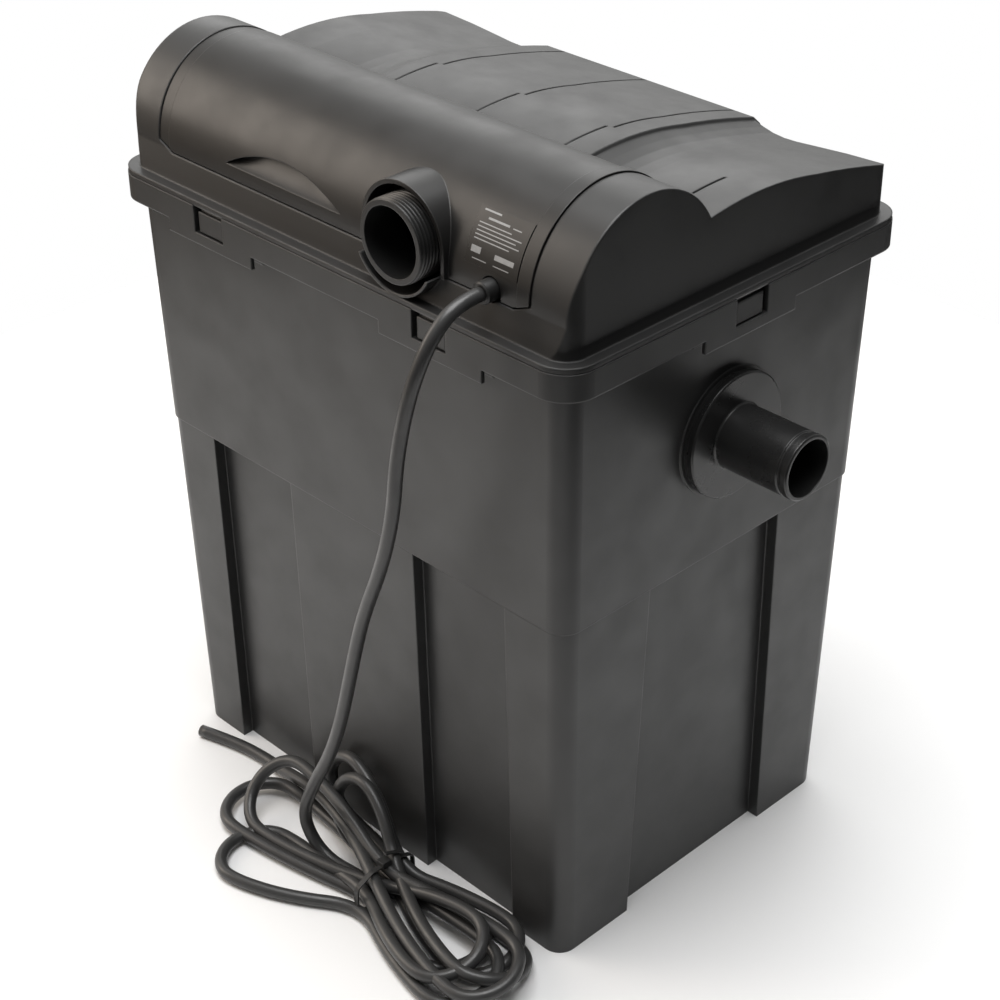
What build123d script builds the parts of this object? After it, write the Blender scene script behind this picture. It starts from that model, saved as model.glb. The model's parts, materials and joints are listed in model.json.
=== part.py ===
"""Flow-through box pond filter with a built-in ultraviolet clarifier under a lift-off hood.

Millimetres, +Z up. The origin is the centre of the tub's underside. X runs along the long side, with the
outlet on the +X wall. The clarifier, the threaded inlet and the cable are on the -Y side.
"""
import os
from math import acos, cos, pi, radians, sin, tan

from build123d import *

os.makedirs("parts", exist_ok=True)

# ---- tub ----
BASE_X, BASE_Y = 341.0, 242.0  # outside of the tub at the floor
LEDGE_X, LEDGE_Y = 348.6, 250.0  # outside of the tub just under the ledge
TOP_X, TOP_Y = 357.0, 258.4  # outside of the tub wall at the top
RIM_X, RIM_Y = 374.0, 275.2  # outside of the rim band
LEDGE_Z = 239.0
RIM_Z = 405.6  # top of the tub
BAND_Z = 390.0  # underside of the rim band
APRON_Z = 382.0  # underside of the deepened stretches of the band
WALL = 3.0
LEDGE_STEP = 1.2
CORNER_R = 12.0
RIM_R = 20.0
RECESS = 7.5
RIB_END = 54.5  # half length of the wide middle rib on the long sides
POST_X = 130.5  # where the corner posts start on the long sides
POST_Y_BASE, POST_Y_LEDGE = 62.0, 55.5  # the same on the short sides, at the floor and at the ledge
NOTCH_X, NOTCH_DEPTH, NOTCH_Z = 26.0, 6.0, 389.0
TAB_WIDTH, TAB_SHIFT = 21.6, 1.3  # the lid's snap tongues, a little off the notches' middle
APRONS = ((-98.0, 38.0), (87.0, 39.5))  # centre and half length of the long side's aprons
SIDE_APRON = (3.5, 37.0)  # the same on the short sides

# ---- lid ----
FLANGE_Z = 409.0
BODY_X, BODY_Y, BODY_R = 359.0, 260.2, 13.0  # outside of the lid's upstanding body
TUBE_Y, TUBE_Z, TUBE_R = -72.7, 429.5, 53.8  # axis and radius of the clarifier housing
ROOF_FRONT = (-25.3, 455.0)
ROOF_CREST = (15.0, 458.0)
ROOF_MID = (60.0, 452.6)
ROOF_SLOPE = (95.0, 445.8)
ROOF_REAR = (124.0, 438.5)
# how far the roof lies below its profile at each distance from the middle: a raised middle, then a valley
ROOF_STATIONS = (
    (84.0, -1.0),
    (85.2, 0.9),
    (92.0, 2.9),
    (99.0, 4.5),
    (107.0, 5.2),
    (116.0, 4.9),
    (132.0, 3.4),
    (152.0, 1.6),
)
SLIT_X, SLIT_Y = 153.5, (-10.0, 16.5)  # the narrow slot in the right of the roof
PANEL_LINES = (-68.5, 0.0, 69.0)
SEAM = 0.7  # gap all round the hood
HOOD_LEFT, HOOD_RIGHT = -154.0, 151.0
HOOD_LOW = 425.0
HOOD_CHAMFER = 12.0

# ---- hood and inlet ----
HOOD_WALL = 2.6
BAND_WIDTH = 9.5  # of the raised band at the hood's right end and the sunk one at its left
INLET_X, INLET_Z = 60.0, 439.2
INLET_END_Y = -138.0
COLLAR_Y = -129.6
COLLAR_R, COLLAR_WALL = 29.0, 2.5
THREAD_R, THREAD_ROOT_R, THREAD_PITCH = 23.9, 22.6, 2.309  # 1 1/2 inch pipe thread
INLET_BORE_R, INLET_BORE_END = 20.0, -112.0
GRIP_X, GRIP_HALF, GRIP_LOW, GRIP_HIGH = -42.5, 49.5, 434.0, 447.8
SILL_R, SILL_WALL, SILL_Y = 28.8, 1.5, -137.0  # the half-collar under the inlet
GLAND_X, GLAND_Z, GLAND_R = 122.7, 430.5, 6.2
GLAND_END_Y = -134.0
GLAND_CLEAR = 0.8

# ---- clarifier ----
CHAMBER_Z, CHAMBER_R, CHAMBER_WALL = 430.0, 40.0, 2.5
CHAMBER_LEFT, CHAMBER_RIGHT = -150.0, 96.0
SLEEVE_R, SLEEVE_WALL = 14.0, 1.5
PORT_X, PORT_R, PORT_END_Z = -112.0, 17.0, 362.0
SADDLES = (-70.0, 30.0)  # where the chamber is held

# ---- outlet ----
OUTLET_Y, OUTLET_Z = 0.0, 318.6
OUTLET_R, OUTLET_BORE_R, OUTLET_FLANGE_R = 19.2, 16.8, 37.6
OUTLET_FACE, OUTLET_END = 185.0, 234.0
OUTLET_THREAD_R = 24.0
OUTLET_PAD_OUT, OUTLET_PAD_IN = 177.9, 172.2  # the wall's flat faces round the outlet
OUTLET_SEAL = 3.0

# ---- cord ----
CORD_R = 4.0
DROP_ROUTE = (  # from the gland down the front to the top of the hank
    (122.7, -134.0, 430.5),
    (122.7, -150.0, 430.5),
    (121.5, -165.0, 419.0),
    (117.0, -173.0, 398.5),
    (110.5, -176.0, 374.0),
    (103.5, -177.0, 341.5),
    (99.0, -176.5, 308.0),
    (86.5, -175.5, 268.0),
    (65.5, -173.5, 223.0),
    (51.0, -172.0, 176.0),
    (38.0, -170.5, 134.0),
    (23.0, -169.0, 98.0),
    (4.5, -167.5, 66.0),
    (-4.5, -168.0, 40.0),
)
TAIL_ROUTE = ((-72.0, -140.0, 6.5), (-98.0, -130.5, 4.6), (-124.0, -133.0, 4.1), (-151.0, -141.5, 4.1))


def vertical_taper(size_low, size_high, radius, z_low, z_high):
    """A rounded block whose plan grows evenly from z_low to z_high."""
    with BuildPart() as block:
        for (length, width), level in ((size_low, z_low), (size_high, z_high)):
            with BuildSketch(Plane.XY.offset(level)):
                RectangleRounded(length, width, radius)
        loft()
    return block.part


def plan_block(length, width, radius, z_low, z_high):
    """A rounded rectangular block centred on the origin in plan."""
    with BuildPart() as block:
        with BuildSketch(Plane.XY.offset(z_low)):
            RectangleRounded(length, width, radius)
        extrude(amount=z_high - z_low)
    return block.part


def span_box(x_range, y_range, z_range):
    """A plain box between two opposite corners."""
    centre = [(low + high) / 2 for low, high in (x_range, y_range, z_range)]
    size = [high - low for low, high in (x_range, y_range, z_range)]
    with BuildPart() as block:
        with Locations(tuple(centre)):
            Box(*size)
    return block.part


def x_cylinder(y, z, radius, x_low, x_high):
    """A round bar along X."""
    with BuildPart() as bar:
        with BuildSketch(Plane.YZ.offset(x_low)):
            with Locations((y, z)):
                Circle(radius)
        extrude(amount=x_high - x_low)
    return bar.part


def y_cylinder(x, z, radius, y_low, y_high):
    """A round bar along Y."""
    with BuildPart() as bar:
        with BuildSketch(Plane.XZ.offset(-y_high)):
            with Locations((x, z)):
                Circle(radius)
        extrude(amount=y_high - y_low)
    return bar.part


def z_cylinder(x, y, radius, z_low, z_high):
    """A round bar along Z."""
    with BuildPart() as bar:
        with BuildSketch(Plane.XY.offset(z_low)):
            with Locations((x, y)):
                Circle(radius)
        extrude(amount=z_high - z_low)
    return bar.part


# ---------------------------------------------------------------- tub
def side_recess(x_low, x_high, sign, inset):
    """The sunk panel of a long side between two ribs, as a block that follows the wall's slope."""
    depth = RECESS - inset
    with BuildPart() as panel:
        for level, half, edge in ((0.0 - inset, BASE_Y / 2, 0.0), (LEDGE_Z, LEDGE_Y / 2, 1.5)):
            outer, inner = half + 15, half - depth
            low = x_low + inset + (edge if x_low < -100 else 0.0)
            high = x_high - inset - (edge if x_high > 100 else 0.0)
            with BuildSketch(Plane.XY.offset(level)):
                with Locations(((low + high) / 2, sign * (outer + inner) / 2)):
                    Rectangle(high - low, outer - inner)
        loft()
    return panel.part


def end_recess(sign, inset):
    """The sunk panel of a short side between its corner posts."""
    depth = RECESS - inset
    with BuildPart() as panel:
        for level, half, edge in (
            (0.0 - inset, BASE_X / 2, POST_Y_BASE),
            (LEDGE_Z, LEDGE_X / 2, POST_Y_LEDGE),
        ):
            outer, inner = half + 15, half - depth
            with BuildSketch(Plane.XY.offset(level)):
                with Locations((sign * (outer + inner) / 2, 0)):
                    Rectangle(outer - inner, 2 * (edge - inset))
        loft()
    return panel.part


def all_recesses(inset):
    panels = [end_recess(sign, inset) for sign in (-1, 1)]
    for sign in (-1, 1):
        panels.append(side_recess(-POST_X, -RIB_END, sign, inset))
        panels.append(side_recess(RIB_END, POST_X, sign, inset))
    return panels


def latch_places():
    """Centre of each latch and the direction that it faces: two on each long side, one on each short side."""
    places = []
    for sign in (-1, 1):
        places += [((centre, sign * RIM_Y / 2), (0, sign)) for centre, _ in APRONS]
        places.append(((sign * RIM_X / 2, SIDE_APRON[0]), (sign, 0)))
    return places


def latch_box(place, facing, width, depth_from, depth_to, z_low, z_high):
    """A box at a latch, from depth_from to depth_to behind the band's outer face."""
    (x, y), (fx, fy) = place, facing
    near, far = sorted((-depth_from, -depth_to))
    if fx:
        return span_box(
            sorted((x + fx * near, x + fx * far)), (y - width / 2, y + width / 2), (z_low, z_high)
        )
    return span_box((x - width / 2, x + width / 2), sorted((y + fy * near, y + fy * far)), (z_low, z_high))


with BuildPart() as cavity:
    add(
        vertical_taper(
            (BASE_X - 2 * WALL, BASE_Y - 2 * WALL),
            (LEDGE_X - 2 * WALL, LEDGE_Y - 2 * WALL),
            CORNER_R - WALL,
            WALL,
            LEDGE_Z,
        )
    )
    for recess in all_recesses(-WALL):
        add(recess, mode=Mode.SUBTRACT)
    add(
        vertical_taper(
            (LEDGE_X - 2 * WALL, LEDGE_Y - 2 * WALL),
            (TOP_X - 2 * WALL, TOP_Y - 2 * WALL),
            CORNER_R - WALL,
            LEDGE_Z,
            RIM_Z + 0.01,
        )
    )

wall_low = (LEDGE_X + 2 * LEDGE_STEP, LEDGE_Y + 2 * LEDGE_STEP)
with BuildPart() as tub:
    add(vertical_taper((BASE_X, BASE_Y), (LEDGE_X, LEDGE_Y), CORNER_R, 0, LEDGE_Z))
    for recess in all_recesses(0.0):
        add(recess, mode=Mode.SUBTRACT)
    add(vertical_taper(wall_low, (TOP_X, TOP_Y), CORNER_R + 1, LEDGE_Z, RIM_Z))
    add(plan_block(RIM_X, RIM_Y, RIM_R, BAND_Z, RIM_Z))
    for sign in (-1, 1):
        for centre, half in APRONS:
            add(
                span_box(
                    (centre - half, centre + half),
                    sorted((sign * RIM_Y / 2, sign * (TOP_Y / 2 - 2))),
                    (APRON_Z, BAND_Z),
                )
            )
        centre, half = SIDE_APRON
        add(
            span_box(
                sorted((sign * RIM_X / 2, sign * (TOP_X / 2 - 2))),
                (centre - half, centre + half),
                (APRON_Z, BAND_Z),
            )
        )
    # the band is a channel open underneath, closed at each latch
    skin = 2.4
    with BuildSketch(Plane.XY.offset(APRON_Z)):
        RectangleRounded(RIM_X - 2 * skin, RIM_Y - 2 * skin, RIM_R - skin)
        RectangleRounded(TOP_X, TOP_Y, CORNER_R + 1, mode=Mode.SUBTRACT)
    extrude(amount=RIM_Z - skin - APRON_Z, mode=Mode.SUBTRACT)
    for place, facing in latch_places():
        add(latch_box(place, facing, NOTCH_X + 5, 0.5, 9.0, APRON_Z, RIM_Z))
        add(latch_box(place, facing, NOTCH_X, -1.0, NOTCH_DEPTH, NOTCH_Z, RIM_Z + 1), mode=Mode.SUBTRACT)
    # inside
    add(cavity.part, mode=Mode.SUBTRACT)
    # guide ribs that hold the divider
    for sign in (-1, 1):
        for x in (70.8, 79.0):
            add(span_box((x, x + 2.2), sorted((sign * 106.0, sign * 112.8)), (WALL - 0.5, 225)))
    # flat faces for the outlet, and its hole
    add(x_cylinder(OUTLET_Y, OUTLET_Z, OUTLET_FLANGE_R + 1.2, OUTLET_PAD_IN, OUTLET_PAD_OUT))
    add(
        x_cylinder(OUTLET_Y, OUTLET_Z, OUTLET_THREAD_R + 0.4, OUTLET_PAD_IN - 5, OUTLET_PAD_OUT + 5),
        mode=Mode.SUBTRACT,
    )
tub.part.label = "tub"
export_step(tub.part, "parts/tub.step")

# ---------------------------------------------------------------- outlet
flange_back = OUTLET_PAD_OUT + OUTLET_SEAL
flange_face = OUTLET_FACE
with BuildPart() as outlet_spigot:
    with BuildSketch(Plane.XY) as half_section:
        with BuildLine():
            Polyline(
                (151.0, OUTLET_BORE_R),
                (151.0, OUTLET_THREAD_R - 1.0),
                (152.0, OUTLET_THREAD_R),
                (flange_back, OUTLET_THREAD_R),
                (flange_back, OUTLET_FLANGE_R),
                (flange_face - 0.8, OUTLET_FLANGE_R),
                (flange_face, OUTLET_FLANGE_R - 0.8),
                (flange_face, OUTLET_R + 0.8),
                (flange_face + 0.8, OUTLET_R),
                (OUTLET_END - 7.0, OUTLET_R),
                (OUTLET_END - 6.4, OUTLET_R - 0.7),
                (OUTLET_END - 4.8, OUTLET_R - 0.7),
                (OUTLET_END - 4.2, OUTLET_R),
                (OUTLET_END - 0.8, OUTLET_R),
                (OUTLET_END, OUTLET_R - 0.8),
                (OUTLET_END, OUTLET_BORE_R),
                close=True,
            )
        make_face()
    revolve(axis=Axis.X)
outlet_spigot.part.label = "outlet_spigot"


def placed(part, x=0.0, y=0.0, z=0.0):
    """The part moved by x, y and z."""
    return Pos(x, y, z) * part


def save(part, name):
    """Label a finished piece and write it."""
    part.label = name
    export_step(part, f"parts/{name}.step")


save(placed(outlet_spigot.part, y=OUTLET_Y, z=OUTLET_Z), "outlet_spigot")

with BuildPart() as outlet_seal:
    add(x_cylinder(OUTLET_Y, OUTLET_Z, OUTLET_FLANGE_R - 1.5, OUTLET_PAD_OUT, flange_back))
    add(
        x_cylinder(OUTLET_Y, OUTLET_Z, OUTLET_THREAD_R + 0.4, OUTLET_PAD_OUT - 1, flange_back + 1),
        mode=Mode.SUBTRACT,
    )
save(outlet_seal.part, "outlet_seal")

with BuildPart() as outlet_nut:
    with BuildSketch(Plane.YZ.offset(OUTLET_PAD_IN - 11)):
        with Locations((OUTLET_Y, OUTLET_Z)):
            RegularPolygon(34.0, 8)
            Circle(OUTLET_THREAD_R + 0.3, mode=Mode.SUBTRACT)
    extrude(amount=7)
    with BuildSketch(Plane.YZ.offset(OUTLET_PAD_IN - 4)):
        with Locations((OUTLET_Y, OUTLET_Z)):
            Circle(36.0)
            Circle(OUTLET_THREAD_R + 0.3, mode=Mode.SUBTRACT)
    extrude(amount=4)
save(outlet_nut.part, "outlet_nut")

# ---------------------------------------------------------------- inside the tub
DIVIDER_X = 73.4
with BuildPart() as divider_panel:
    add(span_box((DIVIDER_X, DIVIDER_X + 5.2), (-109.5, 109.5), (32, 335)))
    for y in (-95, 95):
        add(span_box((DIVIDER_X, DIVIDER_X + 5.2), (y - 8, y + 8), (WALL, 32)))
    for y in range(-90, 91, 20):
        add(
            span_box((DIVIDER_X - 1, DIVIDER_X + 6.2), (y - 6, y + 6), (300, 322)),
            mode=Mode.SUBTRACT,
        )
save(divider_panel.part, "divider_panel")

FOAM_X = (-158.0, 69.0)
FOAM_Y = 103.0
with BuildPart() as media_grid:
    add(span_box(FOAM_X, (-FOAM_Y, FOAM_Y), (30, 35)))
    for x in range(-150, 61, 14):
        for y in range(-90, 91, 30):
            add(span_box((x - 4, x + 4), (y - 12, y + 12), (29, 36)), mode=Mode.SUBTRACT)
    for x in (-143, -44.5, 54):
        for y in (-75, 75):
            add(span_box((x - 3, x + 3), (y - 27, y + 27), (WALL, 30.5)))
save(media_grid.part, "media_grid")

foam_level = 35.0
for name, thickness in (("foam_fine", 60.0), ("foam_medium", 60.0), ("foam_coarse", 70.0)):
    with BuildPart() as foam:
        add(span_box(FOAM_X, (-FOAM_Y, FOAM_Y), (foam_level + 0.3, foam_level + thickness)))
        fillet(foam.edges().filter_by(Axis.Z), 6)
    save(foam.part, name)
    foam_level += thickness

with BuildPart() as spray_plate:
    add(span_box(FOAM_X, (-FOAM_Y, FOAM_Y), (foam_level + 0.3, foam_level + 4.3)))
    with BuildSketch(Plane.XY.offset(foam_level + 4.3)):
        with Locations((sum(FOAM_X) / 2, 0)):
            Rectangle(FOAM_X[1] - FOAM_X[0], 2 * FOAM_Y)
            Rectangle(FOAM_X[1] - FOAM_X[0] - 6, 2 * FOAM_Y - 6, mode=Mode.SUBTRACT)
    extrude(amount=14)
    with BuildSketch(Plane.XY.offset(foam_level)):
        with Locations((sum(FOAM_X) / 2, 0)):
            with GridLocations(20, 20, 11, 10):
                Circle(4)
    extrude(amount=6, mode=Mode.SUBTRACT)
save(spray_plate.part, "spray_plate")

BASKET_X, BASKET_Y, BASKET_Z = (86.0, 158.0), 98.0, (6.0, 236.0)
with BuildPart() as media_basket:
    add(span_box(BASKET_X, (-BASKET_Y, BASKET_Y), BASKET_Z))
    add(
        span_box(
            (BASKET_X[0] + 2, BASKET_X[1] - 2), (-BASKET_Y + 2, BASKET_Y - 2), (BASKET_Z[0] + 2, 240)
        ),
        mode=Mode.SUBTRACT,
    )
    for row in range(8):
        low = BASKET_Z[0] + 12 + 27 * row
        for column in range(8):
            y = -84.0 + 24 * column
            add(span_box((80, 165), (y - 9, y + 9), (low, low + 20)), mode=Mode.SUBTRACT)
        for x in (104.0, 122.0, 140.0):
            add(span_box((x - 6, x + 6), (-110, 110), (low, low + 20)), mode=Mode.SUBTRACT)
    for x in (104.0, 122.0, 140.0):
        for y in range(-80, 81, 32):
            add(span_box((x - 6, x + 6), (y - 12, y + 12), (0, 10)), mode=Mode.SUBTRACT)
save(media_basket.part, "media_basket")

BALL_R = 15.5
with BuildPart() as bio_balls:
    for layer in range(6):
        for row in range(6):
            for x in (105.0, 139.0):
                with Locations((x, -80.0 + 32 * row, 8.3 + BALL_R + 35 * layer)):
                    Sphere(BALL_R)
save(bio_balls.part, "bio_balls")

# ---------------------------------------------------------------- lid
X_END = BODY_X / 2
Y_END = BODY_Y / 2


def roof_section(x, drop, wall):
    """The roof's cross-section at x, lowered by drop, and thinned by wall for the inside."""
    fall = drop + wall
    rear = Y_END - wall
    with BuildSketch(Plane.YZ.offset(x)) as section:
        with BuildLine():
            front = (ROOF_FRONT[0] - (0 if wall == 0 else -4.0), ROOF_FRONT[1] - fall)
            crest = (ROOF_CREST[0], ROOF_CREST[1] - fall)
            middle = (ROOF_MID[0], ROOF_MID[1] - fall)
            slope = (ROOF_SLOPE[0], ROOF_SLOPE[1] - fall)
            back = (ROOF_REAR[0] - wall, ROOF_REAR[1] - fall)
            ThreePointArc(front, crest, middle)
            ThreePointArc(middle, slope, back)
            Line(back, (rear, back[1] - 5.5))
            Line((rear, back[1] - 5.5), (rear, 400.0))
            Line((rear, 400.0), (front[0], 400.0))
            Line((front[0], 400.0), front)
        make_face()
    return section.sketch


def roof_block(wall):
    """The roof over the rear of the lid, with its raised middle and two shallow valleys."""
    right = [*ROOF_STATIONS, (X_END - wall, 0.0)]
    left = [(-x, drop) for x, drop in reversed(right)]
    with BuildPart() as block:
        for x, drop in left + right:
            add(roof_section(x, drop, wall))
        loft(ruled=True)
    return block.part


def hood_gap(margin):
    """What is cut away in front of and above the clarifier for the hood; margin is negative for the hood itself."""
    left, right = HOOD_LEFT - margin, HOOD_RIGHT + margin
    low = HOOD_LOW - margin
    with BuildPart() as gap:
        with BuildSketch(Plane.XZ.offset(-ROOF_FRONT[0] - margin)):
            with BuildLine():
                Polyline(
                    (left + HOOD_CHAMFER, low),
                    (right - HOOD_CHAMFER, low),
                    (right, low + 5),
                    (right, 510),
                    (left, 510),
                    (left, low + 5),
                    close=True,
                )
            make_face()
        extrude(amount=130)
    return gap.part


def collar_arch(radius, y_front, y_back, z_low):
    """An arch round the inlet: a half circle with straight legs down to z_low."""
    with BuildPart() as arch:
        with BuildSketch(Plane.XZ.offset(-y_back)):
            with Locations((INLET_X, INLET_Z)):
                Circle(radius)
            with Locations((INLET_X, (INLET_Z + z_low) / 2)):
                Rectangle(2 * radius, INLET_Z - z_low)
            with Locations((INLET_X, z_low - 50)):
                Rectangle(4 * radius, 100, mode=Mode.SUBTRACT)
        extrude(amount=y_back - y_front)
    return arch.part


def roof_groove(x, y_low, y_high, floor, width):
    """A narrow cut in the roof's top at x; its floor follows the rise and fall of the roof's profile."""
    points = [ROOF_FRONT, ROOF_CREST, ROOF_MID, ROOF_SLOPE, ROOF_REAR]
    with BuildPart() as groove:
        with BuildSketch(Plane.YZ.offset(x - width / 2)):
            with BuildLine():
                Spline(*[(y, z + floor) for y, z in points])
                Polyline(
                    (ROOF_REAR[0], ROOF_REAR[1] + floor),
                    (ROOF_REAR[0], 480),
                    (ROOF_FRONT[0], 480),
                    (ROOF_FRONT[0], ROOF_FRONT[1] + floor),
                )
            make_face()
        extrude(amount=width)
        add(span_box((x - 2, x + 2), (y_low, y_high), (400, 500)), mode=Mode.INTERSECT)
    return groove.part


with BuildPart() as housing:
    with BuildSketch(Plane.YZ.offset(-X_END)):
        with BuildLine():
            Polyline(
                (-Y_END, 400),
                (-Y_END, FLANGE_Z + 0.5),
                (TUBE_Y - TUBE_R, HOOD_LOW + 2),
                (TUBE_Y - TUBE_R, TUBE_Z),
                (TUBE_Y, TUBE_Z),
                (TUBE_Y, 400),
                close=True,
            )
        make_face()
        with Locations((TUBE_Y, TUBE_Z)):
            Circle(TUBE_R)
    extrude(amount=BODY_X)

with BuildPart() as rear_hollow:
    add(roof_block(WALL))
    add(
        plan_block(BODY_X - 2 * WALL, BODY_Y - 2 * WALL, BODY_R - WALL, 390, 520),
        mode=Mode.INTERSECT,
    )
    add(x_cylinder(TUBE_Y, TUBE_Z, TUBE_R, -200, 200), mode=Mode.SUBTRACT)

with BuildPart() as end_hollow:
    add(x_cylinder(TUBE_Y, TUBE_Z, TUBE_R - WALL, -X_END + WALL, X_END - WALL))
    add(span_box((-X_END, X_END), (-140, 0), (FLANGE_Z + 3, 520)), mode=Mode.INTERSECT)

with BuildPart() as saddle_ribs:
    for x in SADDLES:
        add(x_cylinder(TUBE_Y, CHAMBER_Z, TUBE_R - WALL + 0.8, x - 3, x + 3))
    add(x_cylinder(TUBE_Y, CHAMBER_Z, CHAMBER_R + 0.3, -168, 168), mode=Mode.SUBTRACT)
    add(span_box((-90, 60), (-140, 0), (CHAMBER_Z - 12, 520)), mode=Mode.SUBTRACT)

with BuildPart() as lid:
    add(housing.part)
    add(roof_block(0.0))
    add(plan_block(BODY_X, BODY_Y, BODY_R, RIM_Z, 520), mode=Mode.INTERSECT)
    add(plan_block(RIM_X - 0.8, RIM_Y - 0.8, RIM_R - 0.4, RIM_Z, FLANGE_Z))
    # the trough below the rim that holds the clarifier
    add(x_cylinder(TUBE_Y, TUBE_Z, TUBE_R, -173, 173))
    # the half-collar under the inlet
    add(y_cylinder(INLET_X, INLET_Z, SILL_R + SILL_WALL, SILL_Y, -115))
    # hollow rear, open underneath
    add(rear_hollow.part, mode=Mode.SUBTRACT)
    # locating skirt inside the tub
    with BuildSketch(Plane.XY.offset(394)):
        RectangleRounded(TOP_X - 2 * WALL - 2.4, TOP_Y - 2 * WALL - 2.4, 9)
        RectangleRounded(TOP_X - 2 * WALL - 7.4, TOP_Y - 2 * WALL - 7.4, 6.5, mode=Mode.SUBTRACT)
    extrude(amount=RIM_Z - 394 + 1)
    # the clarifier's compartment
    add(x_cylinder(TUBE_Y, TUBE_Z, TUBE_R - WALL, -169.5, 169.5), mode=Mode.SUBTRACT)
    add(end_hollow.part, mode=Mode.SUBTRACT)
    add(hood_gap(0.0), mode=Mode.SUBTRACT)
    # room for the inlet and the cable below the seam
    add(y_cylinder(INLET_X, INLET_Z, SILL_R, SILL_Y - 1, -100), mode=Mode.SUBTRACT)
    add(y_cylinder(GLAND_X, GLAND_Z, GLAND_R + GLAND_CLEAR, -140, -110), mode=Mode.SUBTRACT)
    # clarifier saddles and the drop pipe's hole
    add(saddle_ribs.part)
    add(z_cylinder(PORT_X, TUBE_Y, PORT_R + 1.5, 360, 420), mode=Mode.SUBTRACT)
    # snap tongues in the tub's notches
    for place, facing in latch_places():
        along = (place[0], place[1] - TAB_SHIFT) if facing[0] else (place[0] + TAB_SHIFT, place[1])
        add(latch_box(along, facing, TAB_WIDTH, 3.4, 5.6, 390, RIM_Z + 1))
        add(latch_box(along, facing, TAB_WIDTH, 1.0, 5.6, 390, 402.6))
    # fine panel lines in the roof
    for x in PANEL_LINES:
        for low, high, shift in ((-24.0, 19.5, -4.0), (20.5, Y_END, 0.0)):
            add(roof_groove(x + shift, low, high, 0.1, 1.5), mode=Mode.SUBTRACT)
    add(roof_groove(SLIT_X, *SLIT_Y, -3.6, 1.6), mode=Mode.SUBTRACT)
save(lid.part, "lid")

# ---------------------------------------------------------------- hood
SKIN = TUBE_R - HOOD_WALL
GRIP_R = (GRIP_HALF**2 + (GRIP_HIGH - GRIP_LOW) ** 2) / (2 * (GRIP_HIGH - GRIP_LOW))
GRIP_LIP_Y, GRIP_TOP_Y = -126.4, -117.8  # the scoop's floor at its lower lip and at the top of its arch
GRIP_SAG = 1.7  # how far the floor is hollowed between the two


def grip_scoop(grow):
    """The finger scoop in front of its sloping floor, or the same grown by grow for the wall behind it."""
    with BuildPart() as block:
        add(y_cylinder(GRIP_X, GRIP_HIGH - GRIP_R, GRIP_R + grow, -135, -110))
        with BuildSketch(Plane.YZ.offset(GRIP_X - 80)):
            with BuildLine():
                lip = (GRIP_LIP_Y + grow, GRIP_LOW - grow)
                top = (GRIP_TOP_Y + grow, GRIP_HIGH + grow)
                hollow = ((lip[0] + top[0]) / 2 + GRIP_SAG, (lip[1] + top[1]) / 2 - 0.6 * GRIP_SAG)
                ThreePointArc(lip, hollow, top)
                Polyline(top, (-136, GRIP_HIGH + grow), (-136, GRIP_LOW - grow), lip)
            make_face()
        extrude(amount=160, mode=Mode.INTERSECT)
    return block.part


with BuildPart() as grip_wall:
    add(grip_scoop(2.0))
    add(x_cylinder(TUBE_Y, TUBE_Z, TUBE_R - 0.5, -160, 160), mode=Mode.INTERSECT)

with BuildPart() as sunk_band:
    add(x_cylinder(TUBE_Y, TUBE_Z, TUBE_R + 5, HOOD_LEFT - 1, HOOD_LEFT + BAND_WIDTH))
    add(x_cylinder(TUBE_Y, TUBE_Z, TUBE_R - 0.6, -160, -130), mode=Mode.SUBTRACT)

with BuildPart() as uv_cover:
    add(x_cylinder(TUBE_Y, TUBE_Z, TUBE_R, HOOD_LEFT, HOOD_RIGHT))
    add(x_cylinder(TUBE_Y, TUBE_Z, TUBE_R + 0.8, HOOD_RIGHT - BAND_WIDTH, HOOD_RIGHT))
    add(sunk_band.part, mode=Mode.SUBTRACT)
    add(collar_arch(COLLAR_R + COLLAR_WALL, COLLAR_Y, -90, HOOD_LOW + SEAM))
    add(x_cylinder(TUBE_Y, TUBE_Z, SKIN, -160, 160), mode=Mode.SUBTRACT)
    add(collar_arch(COLLAR_R, COLLAR_Y - 10, -70, HOOD_LOW - 5), mode=Mode.SUBTRACT)
    add(grip_wall.part)
    add(grip_scoop(0.0), mode=Mode.SUBTRACT)
    add(y_cylinder(GLAND_X, GLAND_Z, GLAND_R + GLAND_CLEAR, -140, -110), mode=Mode.SUBTRACT)
    add(
        span_box(
            (GLAND_X - GLAND_R - GLAND_CLEAR, GLAND_X + GLAND_R + GLAND_CLEAR),
            (-140, -110),
            (HOOD_LOW - 5, GLAND_Z),
        ),
        mode=Mode.SUBTRACT,
    )
    add(hood_gap(-SEAM), mode=Mode.INTERSECT)
save(uv_cover.part, "uv_cover")

with BuildPart() as rating_plate:
    add(x_cylinder(TUBE_Y, TUBE_Z, TUBE_R + 0.5, 103.0, 140.5))
    add(x_cylinder(TUBE_Y, TUBE_Z, TUBE_R, 100.0, 145.0), mode=Mode.SUBTRACT)
    with BuildSketch(Plane.YZ.offset(100)):
        with BuildLine():
            reach = 80.0
            Polyline(
                (TUBE_Y, TUBE_Z),
                (TUBE_Y - reach * cos(radians(11)), TUBE_Z + reach * sin(radians(11))),
                (TUBE_Y - reach * cos(radians(43.5)), TUBE_Z + reach * sin(radians(43.5))),
                close=True,
            )
        make_face()
    extrude(amount=50, mode=Mode.INTERSECT)
save(rating_plate.part, "rating_plate")

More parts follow.
